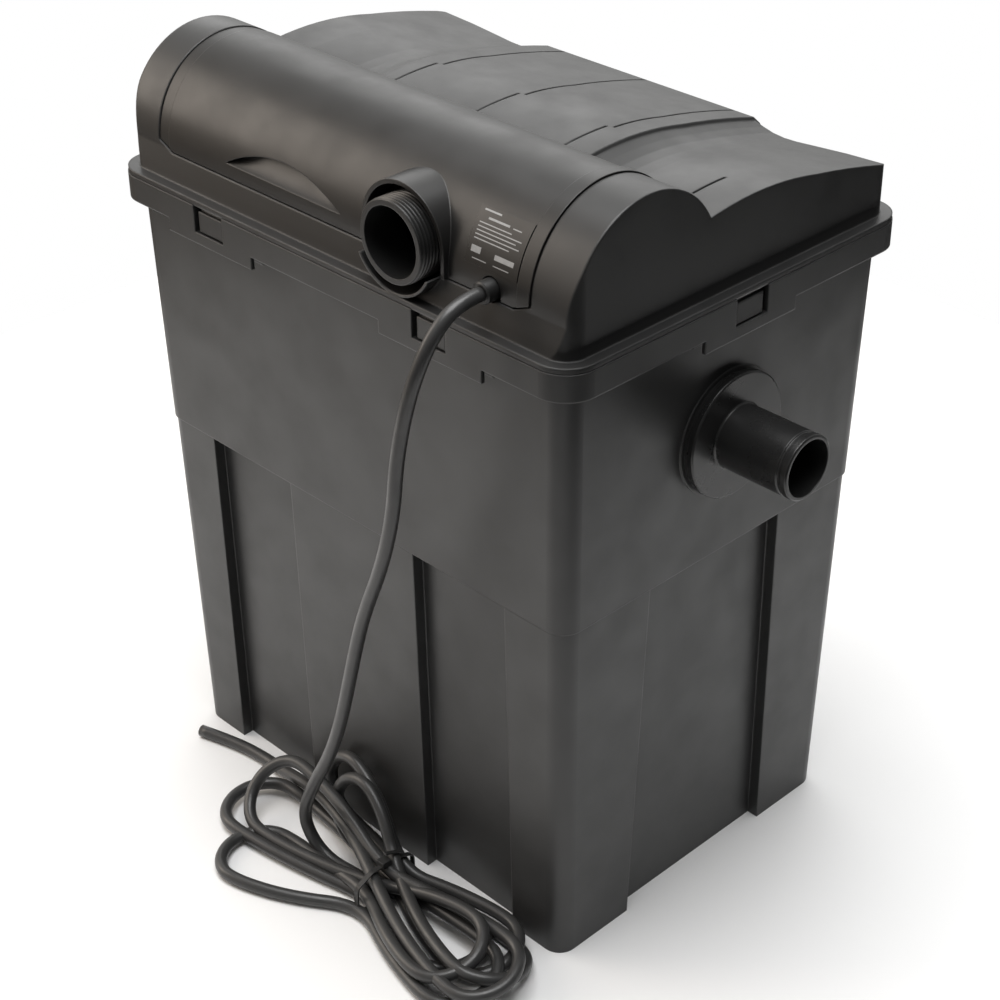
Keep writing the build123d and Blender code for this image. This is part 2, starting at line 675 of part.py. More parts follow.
# ---------------------------------------------------------------- clarifier
with BuildPart() as thread_stub:
    with BuildSketch(Plane.XY):
        with BuildLine():
            outline = [(0.0, INLET_END_Y), (THREAD_R - 0.9, INLET_END_Y), (THREAD_R - 0.3, INLET_END_Y + 0.6)]
            for turn in range(7):
                start = INLET_END_Y + 0.6 + THREAD_PITCH * turn
                outline += [
                    (THREAD_ROOT_R, start + 0.8),
                    (THREAD_ROOT_R, start + 1.1),
                    (THREAD_R, start + 1.9),
                    (THREAD_R, start + THREAD_PITCH),
                ]
            outline += [(THREAD_R, -95.0), (0.0, -95.0)]
            Polyline(*outline, close=True)
        make_face()
    revolve(axis=Axis.Y)

with BuildPart() as uv_chamber:
    add(x_cylinder(TUBE_Y, CHAMBER_Z, CHAMBER_R, CHAMBER_LEFT, CHAMBER_RIGHT))
    add(placed(thread_stub.part, x=INLET_X, z=INLET_Z))
    add(z_cylinder(PORT_X, TUBE_Y, PORT_R, PORT_END_Z, CHAMBER_Z))
    add(
        x_cylinder(
            TUBE_Y, CHAMBER_Z, CHAMBER_R - CHAMBER_WALL, CHAMBER_LEFT + 3, CHAMBER_RIGHT + 1
        ),
        mode=Mode.SUBTRACT,
    )
    add(y_cylinder(INLET_X, INLET_Z, INLET_BORE_R, INLET_END_Y - 1, INLET_BORE_END), mode=Mode.SUBTRACT)
    add(y_cylinder(INLET_X, INLET_Z, INLET_BORE_R + 1.0, INLET_BORE_END, -80), mode=Mode.SUBTRACT)
    add(z_cylinder(PORT_X, TUBE_Y, PORT_R - 2.5, PORT_END_Z - 1, CHAMBER_Z), mode=Mode.SUBTRACT)
save(uv_chamber.part, "uv_chamber")

with BuildPart() as chamber_cap:
    add(x_cylinder(TUBE_Y, CHAMBER_Z, CHAMBER_R, CHAMBER_RIGHT + 1.5, CHAMBER_RIGHT + 6))
    add(x_cylinder(TUBE_Y, CHAMBER_Z, 20.0, CHAMBER_RIGHT - 10, CHAMBER_RIGHT + 6))
    add(x_cylinder(TUBE_Y, CHAMBER_Z, SLEEVE_R + 0.3, CHAMBER_RIGHT - 11, CHAMBER_RIGHT + 7), mode=Mode.SUBTRACT)
    add(x_cylinder(TUBE_Y, CHAMBER_Z, SLEEVE_R + 3.0, CHAMBER_RIGHT - 6, CHAMBER_RIGHT - 2.4), mode=Mode.SUBTRACT)
save(chamber_cap.part, "chamber_cap")

with BuildPart() as chamber_gasket:
    add(x_cylinder(TUBE_Y, CHAMBER_Z, CHAMBER_R - 0.2, CHAMBER_RIGHT, CHAMBER_RIGHT + 1.5))
    add(x_cylinder(TUBE_Y, CHAMBER_Z, CHAMBER_R - 2.3, CHAMBER_RIGHT - 1, CHAMBER_RIGHT + 2), mode=Mode.SUBTRACT)
save(chamber_gasket.part, "chamber_gasket")

with BuildPart() as sleeve_seal:
    add(x_cylinder(TUBE_Y, CHAMBER_Z, SLEEVE_R + 2.9, CHAMBER_RIGHT - 5.9, CHAMBER_RIGHT - 2.5))
    add(x_cylinder(TUBE_Y, CHAMBER_Z, SLEEVE_R, CHAMBER_RIGHT - 8, CHAMBER_RIGHT), mode=Mode.SUBTRACT)
save(sleeve_seal.part, "sleeve_seal")

with BuildPart() as quartz_sleeve:
    add(x_cylinder(TUBE_Y, CHAMBER_Z, SLEEVE_R, -125, CHAMBER_RIGHT + 5))
    with Locations((-125, TUBE_Y, CHAMBER_Z)):
        Sphere(SLEEVE_R)
    add(x_cylinder(TUBE_Y, CHAMBER_Z, SLEEVE_R - SLEEVE_WALL, -125, CHAMBER_RIGHT + 6), mode=Mode.SUBTRACT)
    with Locations((-125, TUBE_Y, CHAMBER_Z)):
        Sphere(SLEEVE_R - SLEEVE_WALL, mode=Mode.SUBTRACT)
save(quartz_sleeve.part, "quartz_sleeve")

LAMP_R, LAMP_GAP = 4.6, 5.4
with BuildPart() as uv_lamp:
    for side in (-1, 1):
        add(x_cylinder(TUBE_Y + side * LAMP_GAP, CHAMBER_Z, LAMP_R, -115, 86))
        with Locations((-115, TUBE_Y + side * LAMP_GAP, CHAMBER_Z)):
            Sphere(LAMP_R)
    add(y_cylinder(-106, CHAMBER_Z, 2.6, TUBE_Y - LAMP_GAP, TUBE_Y + LAMP_GAP))
save(uv_lamp.part, "uv_lamp")

with BuildPart() as lamp_base:
    add(x_cylinder(TUBE_Y, CHAMBER_Z, SLEEVE_R - SLEEVE_WALL - 0.4, 86, 104))
    add(x_cylinder(TUBE_Y, CHAMBER_Z, 9.0, 104, 105.4))
save(lamp_base.part, "lamp_base")

with BuildPart() as chamber_straps:
    for x in SADDLES:
        add(x_cylinder(TUBE_Y, CHAMBER_Z, CHAMBER_R + 2.6, x - 3, x + 3))
        add(x_cylinder(TUBE_Y, CHAMBER_Z, CHAMBER_R + 0.3, x - 4, x + 4), mode=Mode.SUBTRACT)
    add(span_box((-80, 50), (-130, 0), (CHAMBER_Z - 50, CHAMBER_Z - 11.5)), mode=Mode.SUBTRACT)
    for x in SADDLES:
        for side in (-1, 1):
            y_near, y_far = TUBE_Y + side * (CHAMBER_R - 1.0), TUBE_Y + side * (CHAMBER_R + 9.2)
            add(span_box((x - 3, x + 3), sorted((y_near, y_far)), (CHAMBER_Z - 11.9, CHAMBER_Z - 9.5)))
    add(x_cylinder(TUBE_Y, CHAMBER_Z, CHAMBER_R + 0.3, -90, 60), mode=Mode.SUBTRACT)
save(chamber_straps.part, "chamber_straps")

STRAP_SCREWS = [(x, TUBE_Y + side * (CHAMBER_R + 5.2)) for x in SADDLES for side in (-1, 1)]
with BuildPart() as strap_screws:
    for x, y in STRAP_SCREWS:
        add(z_cylinder(x, y, 2.4, CHAMBER_Z - 9.5, CHAMBER_Z - 7.3))
save(strap_screws.part, "strap_screws")

# ---------------------------------------------------------------- ballast
BOX_X, BOX_Y, BOX_Z = (106.0, 166.0), (-107.5, -38.0), (396.0, 459.0)
BOX_WALL = 2.2
with BuildPart() as ballast_box:
    add(span_box(BOX_X, BOX_Y, BOX_Z))
    fillet(ballast_box.edges().filter_by(Axis.Z), 4)
    add(
        span_box(
            (BOX_X[0] + BOX_WALL, BOX_X[1] - BOX_WALL),
            (BOX_Y[0] + BOX_WALL, BOX_Y[1] - BOX_WALL),
            (BOX_Z[0] + BOX_WALL, BOX_Z[1] + 1),
        ),
        mode=Mode.SUBTRACT,
    )
    for x in BOX_X:
        for y in BOX_Y:
            inward_x = x + (5.2 if x == BOX_X[0] else -5.2)
            inward_y = y + (5.2 if y == BOX_Y[0] else -5.2)
            add(z_cylinder(inward_x, inward_y, 3.6, BOX_Z[0] + 1, BOX_Z[1]))
            add(z_cylinder(inward_x, inward_y, 1.5, BOX_Z[1] - 14, BOX_Z[1] + 1), mode=Mode.SUBTRACT)
    # foot that stands in the trough
    add(span_box((BOX_X[0], BOX_X[1]), (TUBE_Y - 22, TUBE_Y + 22), (380, BOX_Z[0] + 0.5)))
    add(y_cylinder(GLAND_X, GLAND_Z, 5.0, BOX_Y[0] - 2, BOX_Y[0] + BOX_WALL + 2), mode=Mode.SUBTRACT)

with BuildPart() as trough_space:
    add(x_cylinder(TUBE_Y, TUBE_Z, TUBE_R - WALL - 0.1, BOX_X[0] - 5, BOX_X[1] + 5))

with BuildPart() as ballast_body:
    add(ballast_box.part)
    add(trough_space.part, mode=Mode.INTERSECT)
save(ballast_body.part, "ballast_box")

with BuildPart() as ballast_cover:
    add(span_box(BOX_X, BOX_Y, (BOX_Z[1], BOX_Z[1] + 2.0)))
    fillet(ballast_cover.edges().filter_by(Axis.Z), 4)
    for x in (BOX_X[0] + 5.2, BOX_X[1] - 5.2):
        for y in (BOX_Y[0] + 5.2, BOX_Y[1] - 5.2):
            add(z_cylinder(x, y, 1.8, BOX_Z[1] - 1, BOX_Z[1] + 3), mode=Mode.SUBTRACT)
save(ballast_cover.part, "ballast_cover")

with BuildPart() as cover_screws:
    for x in (BOX_X[0] + 5.2, BOX_X[1] - 5.2):
        for y in (BOX_Y[0] + 5.2, BOX_Y[1] - 5.2):
            add(z_cylinder(x, y, 1.4, BOX_Z[1] - 9, BOX_Z[1] + 2.5))
            add(z_cylinder(x, y, 2.8, BOX_Z[1] + 2.0, BOX_Z[1] + 4.0))
save(cover_screws.part, "cover_screws")

with BuildPart() as ballast_board:
    add(span_box((BOX_X[0] + 10, BOX_X[1] - 10), (BOX_Y[0] + 9, BOX_Y[1] - 9), (404, 405.6)))
    add(span_box((126, 146), (-90, -66), (405.6, 424)))
    for y in (-60, -50):
        add(z_cylinder(130, y, 4.5, 405.6, 422))
save(ballast_board.part, "ballast_board")

with BuildPart() as cable_gland:
    add(y_cylinder(GLAND_X, GLAND_Z, GLAND_R, GLAND_END_Y, -119))
    chamfer(cable_gland.faces().sort_by(Axis.Y)[0].edges(), 0.8)
    add(y_cylinder(GLAND_X, GLAND_Z, 9.0, -119, -108.0))
    add(y_cylinder(GLAND_X, GLAND_Z, 4.9, -108.5, BOX_Y[0] + BOX_WALL + 3))
    add(y_cylinder(GLAND_X, GLAND_Z, 7.5, BOX_Y[0] + BOX_WALL + 0.1, BOX_Y[0] + BOX_WALL + 3.1))
save(cable_gland.part, "cable_gland")

# ---------------------------------------------------------------- cable
def cord_tube(route, radius):
    """A round cord along straight runs joined by tangent arcs; the bend radii are printed."""
    points = [Vector(*point) for point in route]
    radii = []
    with BuildPart() as tube:
        with BuildLine() as line:
            start = points[0]
            for before, corner, after in zip(points, points[1:], points[2:]):
                run_in, run_out = (corner - before).length, (after - corner).length
                way_in, way_out = (corner - before).normalized(), (after - corner).normalized()
                half_turn = acos(max(-1.0, min(1.0, way_in.dot(way_out)))) / 2
                setback = 0.45 * min(run_in, run_out)
                bend = setback / tan(half_turn)
                radii.append(round(bend, 1))
                enter, leave = corner - way_in * setback, corner + way_out * setback
                inward = (way_out - way_in).normalized()
                middle = corner + inward * (bend / cos(half_turn) - bend)
                Line(start, enter)
                ThreePointArc(enter, middle, leave)
                start = leave
            Line(start, points[-1])
        with BuildSketch(Plane(origin=points[0], z_dir=points[1] - points[0])):
            Circle(radius)
        sweep()
    print("bend radii", radii, "length", round(line.wire().length, 1), "volume", round(tube.part.volume, 0),
          "expected", round(line.wire().length * pi * radius**2, 0))
    return tube.part


save(cord_tube(DROP_ROUTE, CORD_R), "cable_drop")
save(cord_tube(TAIL_ROUTE, CORD_R), "cable_tail")

HANK_OUTLINE = (
    (-74, -156), (-66, -140), (-40, -130), (0, -128), (40, -133), (56, -138), (100, -131), (140, -127),
    (163, -140), (168, -168), (150, -190), (110, -190), (60, -182), (42, -186), (10, -207), (-30, -217),
    (-48, -206), (-62, -180),
)
with BuildPart() as cable_hank:
    with BuildSketch(Plane.XY):
        with BuildLine():
            Spline(*HANK_OUTLINE, periodic=True)
        make_face()
    extrude(amount=30)
    fillet(cable_hank.faces().sort_by(Axis.Z)[-1].edges(), 8)
    add(span_box((-48, 44), (-150, -128), (5, 52)))
save(cable_hank.part, "cable_hank")

with BuildPart() as cable_tie:
    add(span_box((49, 54), (-187, -134), (0, 32)))
    add(span_box((46, 57), (-164, -156), (30, 36)))
    add(cable_hank.part, mode=Mode.SUBTRACT)
save(cable_tie.part, "cable_tie")
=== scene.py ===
"""Studio scene of the box pond filter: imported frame, cable, foam, bio balls, materials, lights and camera."""
import json
import math

import bmesh
import bpy
from mathutils import Matrix, Vector


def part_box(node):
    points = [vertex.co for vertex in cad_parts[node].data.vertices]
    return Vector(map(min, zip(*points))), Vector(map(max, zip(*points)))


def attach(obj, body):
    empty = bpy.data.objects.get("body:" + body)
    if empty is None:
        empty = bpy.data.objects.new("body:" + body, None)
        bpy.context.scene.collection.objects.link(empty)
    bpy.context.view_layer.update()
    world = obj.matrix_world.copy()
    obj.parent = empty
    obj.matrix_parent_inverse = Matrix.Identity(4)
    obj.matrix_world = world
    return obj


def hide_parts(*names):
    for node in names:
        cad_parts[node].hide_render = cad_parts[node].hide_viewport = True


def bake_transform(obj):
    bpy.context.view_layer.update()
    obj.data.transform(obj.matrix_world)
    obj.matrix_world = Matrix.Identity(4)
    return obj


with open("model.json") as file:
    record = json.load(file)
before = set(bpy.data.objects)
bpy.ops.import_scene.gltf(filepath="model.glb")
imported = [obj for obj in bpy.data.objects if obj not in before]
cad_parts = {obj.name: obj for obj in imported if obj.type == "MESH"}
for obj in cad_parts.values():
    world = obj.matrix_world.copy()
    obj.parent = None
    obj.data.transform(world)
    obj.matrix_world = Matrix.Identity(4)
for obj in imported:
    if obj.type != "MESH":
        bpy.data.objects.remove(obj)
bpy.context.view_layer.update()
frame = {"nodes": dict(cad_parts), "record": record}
nodes = frame["nodes"]
scene = bpy.context.scene

# ---------------------------------------------------------------- camera
LENS_MM, SENSOR_MM = 76.285, 36.0
CAMERA_PLACE = (0.8117, -0.7897, 0.9079)
RIGHT = Vector((0.6994, 0.7147, -0.0068))
UP = Vector((-0.377, 0.3769, 0.8461))
FORWARD = Vector((-0.6073, 0.5892, -0.533))
camera_data = bpy.data.cameras.new("camera")
camera_data.lens = LENS_MM
camera_data.sensor_width = SENSOR_MM
camera = bpy.data.objects.new("camera", camera_data)
scene.collection.objects.link(camera)
turn = Matrix((RIGHT, UP, -FORWARD)).transposed().to_4x4()
camera.matrix_world = Matrix.Translation(CAMERA_PLACE) @ turn
scene.camera = camera


def piece_from(shape, name):
    """Turns a finished bmesh into a mesh object of that name in the scene."""
    mesh = bpy.data.meshes.new(name)
    shape.to_mesh(mesh)
    shape.free()
    piece = bpy.data.objects.new(name, mesh)
    scene.collection.objects.link(piece)
    return piece


# ---------------------------------------------------------------- cable
CORD_D = 0.008
DROP = [
    (0.1227, -0.1340, 0.4305),
    (0.1227, -0.1500, 0.4305),
    (0.1215, -0.1650, 0.4190),
    (0.1170, -0.1730, 0.3985),
    (0.1105, -0.1760, 0.3740),
    (0.1035, -0.1770, 0.3415),
    (0.0990, -0.1765, 0.3080),
    (0.0865, -0.1755, 0.2680),
    (0.0655, -0.1735, 0.2230),
    (0.0510, -0.1720, 0.1760),
    (0.0380, -0.1705, 0.1340),
    (0.0230, -0.1690, 0.0980),
    (0.0045, -0.1675, 0.0660),
    (-0.0098, -0.1672, 0.0338),
    (-0.0052, -0.1662, 0.0159),
    (0.0094, -0.1645, 0.0045),
    (0.0300, -0.1620, 0.0044),
]
TAIL = [
    (0.0300, -0.1570, 0.0245),
    (-0.0010, -0.1470, 0.0250),
    (-0.0350, -0.1380, 0.0200),
    (-0.0620, -0.1320, 0.0100),
    (-0.0800, -0.1300, 0.0052),
    (-0.0980, -0.1295, 0.0044),
    (-0.1240, -0.1330, 0.0042),
    (-0.1510, -0.1415, 0.0042),
]
TIE_X = 0.057
FLOOR_GAP = 4.2  # lowest centreline of a turn, in millimetres
# where each strand passes the tie: (y, z) in millimetres
SLOTS = {
    "b1": (-141.0, 4.3), "b2": (-150.0, 4.3), "b3": (-159.0, 4.3), "b4": (-168.0, 4.3), "b5": (-177.0, 4.3),
    "m1": (-145.5, 12.4), "m2": (-154.5, 12.4), "m3": (-163.5, 12.4), "m4": (-172.5, 12.4),
    "t1": (-150.0, 20.5), "t2": (-159.0, 20.5), "t3": (-168.0, 20.5),
}
# turns of the hank in order, in millimetres:
# slot before, tip x, (y, z) of the strand out, (y, z) of the strand back, slot after
LOBES = [
    ("b3", 138.0, (-136.0, 5.0), (-187.0, 5.0), "b4"),
    ("b4", -79.0, (-190.0, 6.0), (-139.0, 8.0), "b2"),
    ("b2", 158.0, (-178.0, 7.0), (-128.5, 14.0), "m1"),
    ("m1", -24.0, (-131.0, 60.0), (-132.0, 8.0), "b1"),
    ("b1", 170.0, (-134.0, 4.5), (-184.0, 19.0), "t1"),
    ("t1", -8.0, (-137.0, 55.0), (-145.0, 5.0), "m2"),
    ("m2", 165.0, (-152.0, 14.0), (-203.0, 5.0), "b5"),
    ("b5", -46.0, (-220.0, 4.5), (-169.0, 5.0), "m4"),
    ("m4", 150.0, (-199.0, 13.0), (-150.0, 27.0), "m3"),
    ("m3", -63.0, (-181.0, 7.0), (-142.0, 40.0), "t2"),
    ("t2", 176.0, (-146.0, 23.0), (-196.0, 14.0), "t3"),
]


def lobe_points(slot_in, tip, out, back, slot_out):
    """Control points of one end turn, from its pass through the tie to the next pass, in metres."""
    way = 1.0 if tip > TIE_X * 1000 else -1.0
    half = ((out[0] - back[0]) / 2, (out[1] - back[1]) / 2)
    reach = math.hypot(*half)
    mid_y, mid_z = (out[0] + back[0]) / 2, (out[1] + back[1]) / 2
    centre_x = tip - way * reach
    grow = 1.0 / math.cos(math.radians(18))
    points = []
    first = SLOTS[slot_in]
    start_x = (TIE_X * 1000 + centre_x) / 2
    points.append((start_x, first[0] * 0.35 + out[0] * 0.65, first[1] * 0.3 + out[1] * 0.7))
    for degrees in (-90, -54, -18, 18, 54, 90):
        angle = math.radians(degrees)
        along = -math.sin(angle) * (grow if abs(degrees) < 90 else 1.0)
        points.append((
            centre_x + way * math.cos(angle) * reach * grow,
            mid_y + half[0] * along,
            mid_z + half[1] * along,
        ))
    last = SLOTS[slot_out]
    points.append((start_x, last[0] * 0.35 + back[0] * 0.65, last[1] * 0.3 + back[1] * 0.7))
    return [(x / 1000, y / 1000, max(z, FLOOR_GAP) / 1000) for x, y, z in points]


cord_points = list(DROP)
cord_points.append((TIE_X, SLOTS["b3"][0] / 1000, SLOTS["b3"][1] / 1000))
for lobe in LOBES:
    cord_points += lobe_points(*lobe)
    y, z = SLOTS[lobe[-1]]
    cord_points.append((TIE_X, y / 1000, z / 1000))
cord_points += TAIL


def nurbs_line(name, points):
    """One open NURBS spline through the scene, with the points as its control points."""
    curve = bpy.data.curves.new(name, "CURVE")
    curve.dimensions = "3D"
    spline = curve.splines.new("NURBS")
    spline.points.add(len(points) - 1)
    for point, place in zip(spline.points, points):
        point.co = (*place, 1.0)
    spline.order_u = 3
    spline.use_endpoint_u = True
    spline.resolution_u = 10
    line = bpy.data.objects.new(name, curve)
    scene.collection.objects.link(line)
    return line


def read_line(line):
    """The points that a curve without a bevel follows."""
    depsgraph = bpy.context.evaluated_depsgraph_get()
    mesh = bpy.data.meshes.new_from_object(line.evaluated_get(depsgraph))
    points = [vertex.co.copy() for vertex in mesh.vertices]
    bpy.data.meshes.remove(mesh)
    return points


UV_RUN = 0.1  # metres of cable to one unit of its texture


def tube_mesh(name, path, radius, sides=20):
    """A tube of even radius along path, with closed ends."""
    shape = bmesh.new()
    normal = Vector((0, 0, 1))
    rings = []
    run = 0.0
    lengths = []
    for index, point in enumerate(path):
        before, after = path[max(index - 1, 0)], path[min(index + 1, len(path) - 1)]
        along = (after - before).normalized()
        normal = (normal - along * normal.dot(along)).normalized()
        across = along.cross(normal)
        run += (point - path[index - 1]).length if index else 0.0
        lengths.append(run)
        rings.append([
            shape.verts.new(point + radius * (math.cos(2 * math.pi * k / sides) * normal
                                              + math.sin(2 * math.pi * k / sides) * across))
            for k in range(sides)
        ])
    layer = shape.loops.layers.uv.new("along")
    for row, (ring, following) in enumerate(zip(rings, rings[1:])):
        for k in range(sides):
            face = shape.faces.new((ring[k], ring[(k + 1) % sides], following[(k + 1) % sides], following[k]))
            face.smooth = True
            for loop, (u, v) in zip(face.loops, ((k, 0), (k + 1, 0), (k + 1, 1), (k, 1))):
                loop[layer].uv = (u / sides, lengths[row + v] / UV_RUN)
    shape.faces.new(rings[0][::-1])
    shape.faces.new(rings[-1])
    return piece_from(shape, name)


cord_line = nurbs_line("cable_line", cord_points)
cord_path = read_line(cord_line)
bpy.data.objects.remove(cord_line)
cable = tube_mesh("cable", cord_path, CORD_D / 2)
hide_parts("cable_drop", "cable_hank", "cable_tail")


# ---------------------------------------------------------------- materials
class Shader:
    """A material's node tree, with short helpers for adding and linking nodes."""

    def __init__(self, name):
        self.material = bpy.data.materials.new(name)
        self.material.use_nodes = True
        self.tree = self.material.node_tree
        self.surface = self.tree.nodes["Principled BSDF"]

    def add(self, kind, inputs=(), **settings):
        node = self.tree.nodes.new(kind)
        for key, value in settings.items():
            setattr(node, key, value)
        for key, value in dict(inputs).items():
            if isinstance(value, bpy.types.NodeSocket):
                self.tree.links.new(value, node.inputs[key])
            else:
                node.inputs[key].default_value = value
        return node

    def set(self, **values):
        for key, value in values.items():
            socket = self.surface.inputs[key.replace("_", " ")]
            if isinstance(value, bpy.types.NodeSocket):
                self.tree.links.new(value, socket)
            else:
                socket.default_value = value

    def place(self):
        return self.add("ShaderNodeTexCoord").outputs["Object"]

    def noise(self, scale, detail=3.0, roughness=0.55, place=None):
        node = self.add(
            "ShaderNodeTexNoise",
            {"Vector": place or self.place(), "Scale": scale, "Detail": detail, "Roughness": roughness},
        )
        return node.outputs["Fac"]

    def remap(self, value, low, high, to_low, to_high):
        node = self.add(
            "ShaderNodeMapRange",
            {"Value": value, "From Min": low, "From Max": high, "To Min": to_low, "To Max": to_high},
        )
        return node.outputs["Result"]

    def mix(self, amount, first, second):
        node = self.add("ShaderNodeMix", data_type="RGBA")
        for socket, value in ((node.inputs[0], amount), (node.inputs[6], first), (node.inputs[7], second)):
            if isinstance(value, bpy.types.NodeSocket):
                self.tree.links.new(value, socket)
            else:
                socket.default_value = value
        return node.outputs[2]

    def bump(self, height, strength, distance, normal=None):
        inputs = {"Height": height, "Strength": strength, "Distance": distance}
        if normal:
            inputs["Normal"] = normal
        return self.add("ShaderNodeBump", inputs).outputs["Normal"]


def grey(value, warm=0.0):
    """An even grey, or a slightly warm one, as a shader colour."""
    return (value * (1 + warm), value, value * (1 - warm), 1.0)


def moulded(name, base, rough, grain, warm=0.0, edge=0.0007):
    """Moulded plastic: faint flow marks, fine grain, softly rounded edges that are lighter in patches, partly
    rubbed wear and partly a painted edge highlight.
    """
    s = Shader(name)
    round_edge = s.add("ShaderNodeBevel", {"Radius": edge}, samples=6).outputs["Normal"]
    true_normal = s.add("ShaderNodeNewGeometry").outputs["Normal"]
    dot = s.add("ShaderNodeVectorMath", operation="DOT_PRODUCT")
    s.tree.links.new(round_edge, dot.inputs[0])
    s.tree.links.new(true_normal, dot.inputs[1])
    # edge mask from the rounded normal: marks rubbed wear and where a painted highlight goes along the edges
    edge_wear_and_highlight = s.remap(dot.outputs["Value"], 1.0, 0.86, 0.0, 1.0)
    patchy = s.remap(s.noise(60.0), 0.35, 0.65, 0.25, 1.0)
    patchy_edge_wear_and_highlight = s.add("ShaderNodeMath", {0: edge_wear_and_highlight, 1: patchy}, operation="MULTIPLY")
    flow = s.add("ShaderNodeMapping", {"Vector": s.place(), "Scale": (1.0, 1.0, 0.25)}).outputs["Vector"]
    body = s.mix(s.noise(9.0, 4.0, place=flow), grey(base * 0.82, warm), grey(base * 1.2, warm))
    dust = s.mix(s.remap(s.noise(2.2, 2.0), 0.45, 0.7, 0.0, 0.35), body, grey(base * 1.5 + 0.004, warm))
    # edges lighter in patches: partly rubbed wear, partly a painted highlight along the edges
    colour = s.mix(patchy_edge_wear_and_highlight.outputs[0], dust, grey(base * 2.2 + 0.02, warm))
    gloss = s.remap(s.noise(34.0, 4.0), 0.3, 0.7, *rough)
    normal = s.bump(s.noise(2600.0, 2.0), grain, 0.00012, round_edge)
    s.set(Base_Color=colour, Roughness=gloss, Normal=normal)
    return s.material


def rubber(name, base, rough=(0.38, 0.5)):
    """Dull rubber or cable sheath with a fine uneven skin."""
    s = Shader(name)
    body = s.mix(s.noise(45.0, 4.0), grey(base * 0.75), grey(base * 1.35))
    s.set(
        Base_Color=body,
        Roughness=s.remap(s.noise(120.0), 0.3, 0.7, *rough),
        Normal=s.bump(s.noise(900.0, 3.0), 0.18, 0.0002),
    )
    return s.material


def foam_material(name, dark, light, scale):
    """Open-cell foam: pores a few millimetres across, with painted shade inside them."""
    s = Shader(name)
    cells = s.add("ShaderNodeTexVoronoi", {"Vector": s.place(), "Scale": scale}, feature="DISTANCE_TO_EDGE")
    wall_vs_pore_shade = s.remap(cells.outputs["Distance"], 0.02, 0.3, 1.0, 0.0)
    tint = s.mix(s.noise(14.0, 4.0), dark, light)
    s.set(
        # the pore hollows get painted shade, a quarter of the dark tint; the cell walls keep the tint
        Base_Color=s.mix(wall_vs_pore_shade, (dark[0] * 0.25, dark[1] * 0.25, dark[2] * 0.25, 1.0), tint),
        Roughness=0.95,
        Sheen_Weight=0.2,
        Normal=s.bump(wall_vs_pore_shade, 0.9, 0.0015),
    )
    return s.material


def brushed(name):
    """Brushed steel, streaked one way."""
    s = Shader(name)
    fine = s.add("ShaderNodeMapping", {"Vector": s.place(), "Scale": (400.0, 3000.0, 400.0)})
    streak = s.noise(1.0, 3.0, place=fine.outputs["Vector"])
    s.set(
        Base_Color=s.mix(streak, grey(0.42), grey(0.62)), Metallic=1.0,
        Roughness=s.remap(streak, 0.3, 0.7, 0.25, 0.42), Normal=s.bump(streak, 0.08, 0.0001),
    )
    return s.material


def clear(name, tint, rough):
    """Clear glass or quartz with a faint smear."""
    s = Shader(name)
    smear = s.noise(30.0, 4.0)
    s.set(
        Base_Color=s.mix(smear, tint, (tint[0] * 0.93, tint[1] * 0.96, tint[2] * 0.97, 1.0)),
        Transmission_Weight=1.0, IOR=1.46, Roughness=s.remap(smear, 0.3, 0.7, rough, rough + 0.05),
    )
    return s.material


def board_material(name):
    """Green circuit board with brassy tracks."""
    s = Shader(name)
    tracks = s.add("ShaderNodeTexBrick", {
        "Vector": s.place(),
        "Scale": 160.0,
        "Color1": (0.01, 0.09, 0.04, 1),
        "Color2": (0.01, 0.12, 0.05, 1),
        "Mortar": (0.25, 0.2, 0.05, 1),
    })
    s.set(Base_Color=tracks.outputs["Color"], Roughness=s.remap(s.noise(80.0), 0.3, 0.7, 0.3, 0.45))
    return s.material


def ceramic(name):
    """Off-white ceramic."""
    s = Shader(name)
    s.set(
        Base_Color=s.mix(s.noise(90.0, 4.0), (0.72, 0.70, 0.66, 1), (0.84, 0.83, 0.80, 1)),
        Roughness=s.remap(s.noise(50.0), 0.3, 0.7, 0.3, 0.42), Normal=s.bump(s.noise(1500.0), 0.08, 0.0002),
    )
    return s.material


